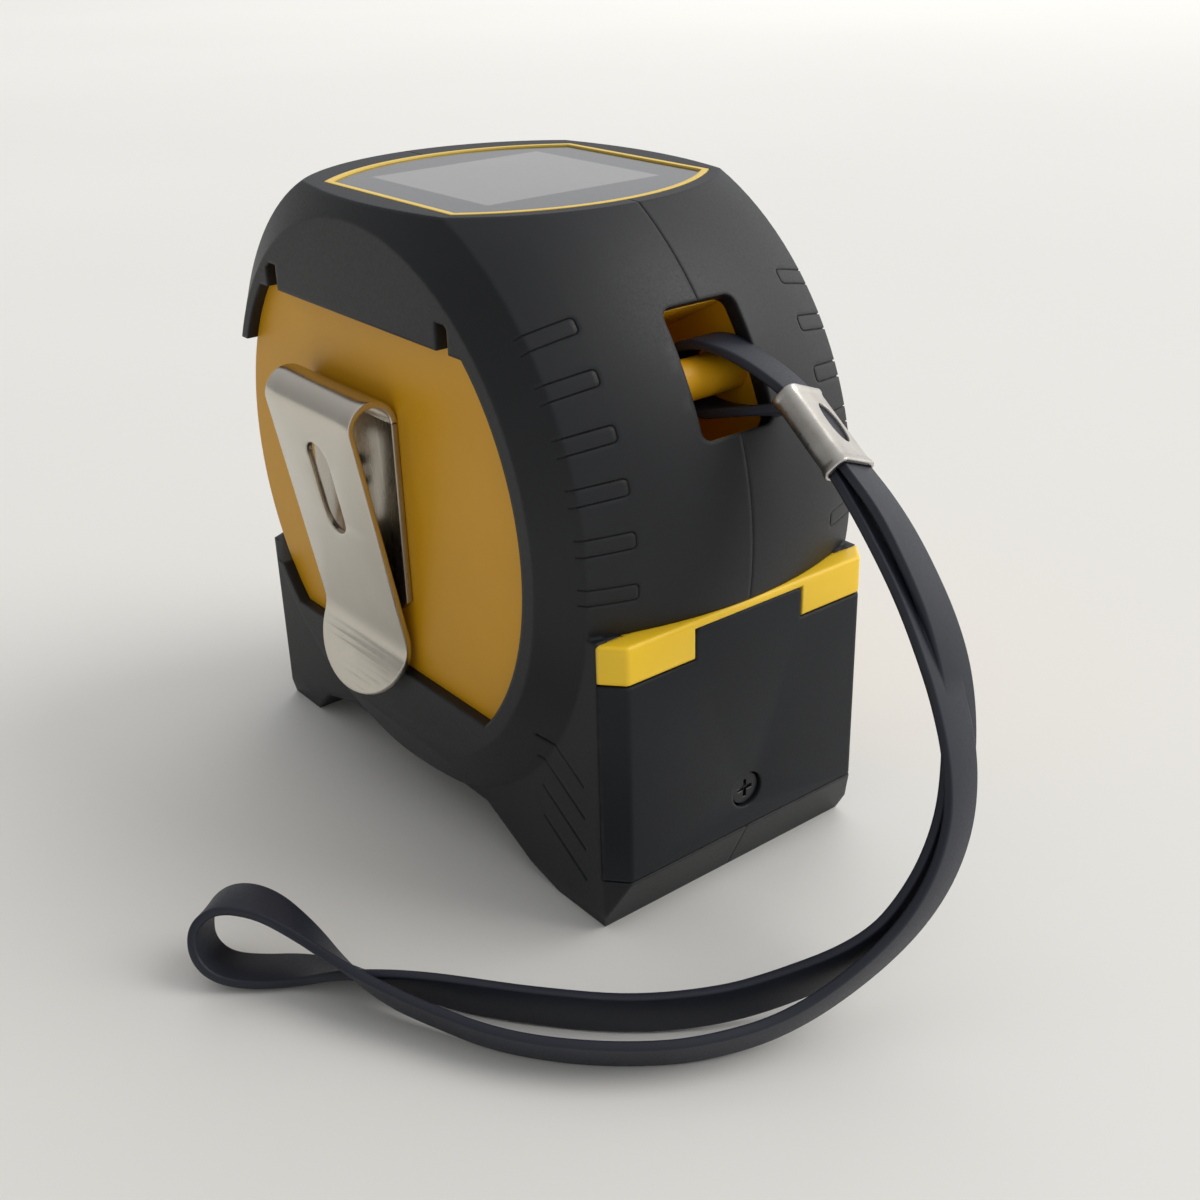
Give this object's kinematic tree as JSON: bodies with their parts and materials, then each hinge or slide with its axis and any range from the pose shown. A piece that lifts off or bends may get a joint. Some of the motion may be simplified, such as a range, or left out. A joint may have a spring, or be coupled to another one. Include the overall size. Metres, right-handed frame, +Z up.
{
  "type": "laser tape measure",
  "caption": "Pocket tape measure with laser rangefinder, top display, rear battery door, belt clip and wrist strap, yellow case with black overmould.",
  "frame": {"origin": "middle of the footprint of the tool without its wrist strap, on the floor the feet stand on", "axes": "+X from the rear battery door towards the blade mouth, +Y towards the belt clip side, +Z up through the display"},
  "size_m": [0.1172, 0.0839, 0.08],
  "materials": {
    "overmould": "satin moulded rubber",
    "yellow_shell": "satin yellow plastic",
    "cover_plastic": "fine textured plastic",
    "dark_screw": "blackened steel",
    "cell_label": "printed sleeve",
    "contact_steel": "plated spring steel",
    "trim_black": "semi gloss plastic",
    "display_glass": "clear hard coated window",
    "lcd": "grey green display glass",
    "circuit_board": "solder mask",
    "inner_plastic": "moulded plastic",
    "chip_black": "moulded package",
    "brass": "turned brass",
    "lens_glass": "clear lens",
    "laser_window": "dark red tinted window",
    "red_button": "satin red plastic",
    "button_rubber": "silicone rubber",
    "tape_paint": "lacquered tape steel",
    "spring_steel": "spring steel",
    "nickel": "bright nickel plated steel",
    "satin_nickel": "satin nickel plated",
    "strap_rubber": "dark blue black smooth strip"
  },
  "bodies": {
    "case": {"left_overmould": "overmould", "right_overmould": "overmould", "left_case_half": "yellow_shell", "right_case_half": "yellow_shell", "battery_tray": "yellow_shell", "battery_cell": "cell_label", "battery_contacts": "contact_steel", "lanyard_bar": "yellow_shell", "display_trim_ring": "yellow_shell", "display_window": "display_glass", "lcd_panel": "lcd", "main_circuit_board": "circuit_board", "display_frame": "inner_plastic", "board_chips": "chip_black", "buzzer": "chip_black", "laser_housing": "inner_plastic", "laser_barrel": "brass", "laser_lens": "lens_glass", "receiver_lens": "lens_glass", "laser_board": "circuit_board", "laser_window": "laser_window", "switch_board": "circuit_board", "switch_domes": "contact_steel", "drum_axle": "spring_steel", "mouth_frame": "trim_black", "case_screws": "dark_screw", "clip_base": "nickel", "clip_screw": "nickel", "wrist_strap": "strap_rubber", "strap_crimp": "satin_nickel"},
    "cover": {"battery_cover": "cover_plastic", "battery_cover_screw": "dark_screw"},
    "clip_leg": {"clip_spring_leg": "nickel"},
    "blade": {"tape_blade": "tape_paint", "hook_rivets": "nickel"},
    "hook": {"end_hook": "nickel"},
    "drum": {"tape_drum": "inner_plastic", "tape_coil": "tape_paint", "power_spring": "spring_steel", "spring_cap": "inner_plastic"},
    "measure": {"measure_button": "red_button"},
    "mode": {"mode_button": "button_rubber"},
    "power": {"power_button": "button_rubber"},
    "lock": {"lock_slider": "trim_black", "brake_shoe": "button_rubber"}
  },
  "joints": [
    {"name": "drum_spin", "type": "hinge", "parent": "case", "child": "drum", "pos_m": [0.0005, -0.00269, 0.0338], "axis": [0, -1, 0], "range_deg": [0, 78.7], "stiffness_Nm_per_rad": 0.02, "springref_deg": -85.94},
    {"name": "blade_slide", "type": "slide", "parent": "case", "child": "blade", "axis": [1, 0, 0], "range_m": [0, 0.03]},
    {"name": "hook_float", "type": "slide", "parent": "blade", "child": "hook", "axis": [1, 0, 0], "range_m": [0, 0.0009]},
    {"name": "measure_press", "type": "slide", "parent": "case", "child": "measure", "axis": [-0.682, 0, -0.7314], "range_m": [0, 0.0008], "stiffness_N_per_m": 600},
    {"name": "mode_press", "type": "slide", "parent": "case", "child": "mode", "axis": [-0.682, 0, -0.7314], "range_m": [0, 0.0007], "stiffness_N_per_m": 600},
    {"name": "power_press", "type": "slide", "parent": "case", "child": "power", "axis": [-0.682, 0, -0.7314], "range_m": [0, 0.0007], "stiffness_N_per_m": 600},
    {"name": "lock_slide", "type": "slide", "parent": "case", "child": "lock", "axis": [0, 0, -1], "range_m": [0, 0.0028]},
    {"name": "clip_flex", "type": "hinge", "parent": "case", "child": "clip_leg", "pos_m": [0.00425, 0.02575, 0.0548], "axis": [1, 0, 0], "range_deg": [0, 8], "stiffness_Nm_per_rad": 0.8},
    {"name": "cover_slide", "type": "slide", "parent": "case", "child": "cover", "axis": [-1, 0, 0], "range_m": [0, 0.012]}
  ],
  "couplings": [
    {"joint": "blade_slide", "follows": "drum_spin", "m_per_rad": 0.0218}
  ]
}
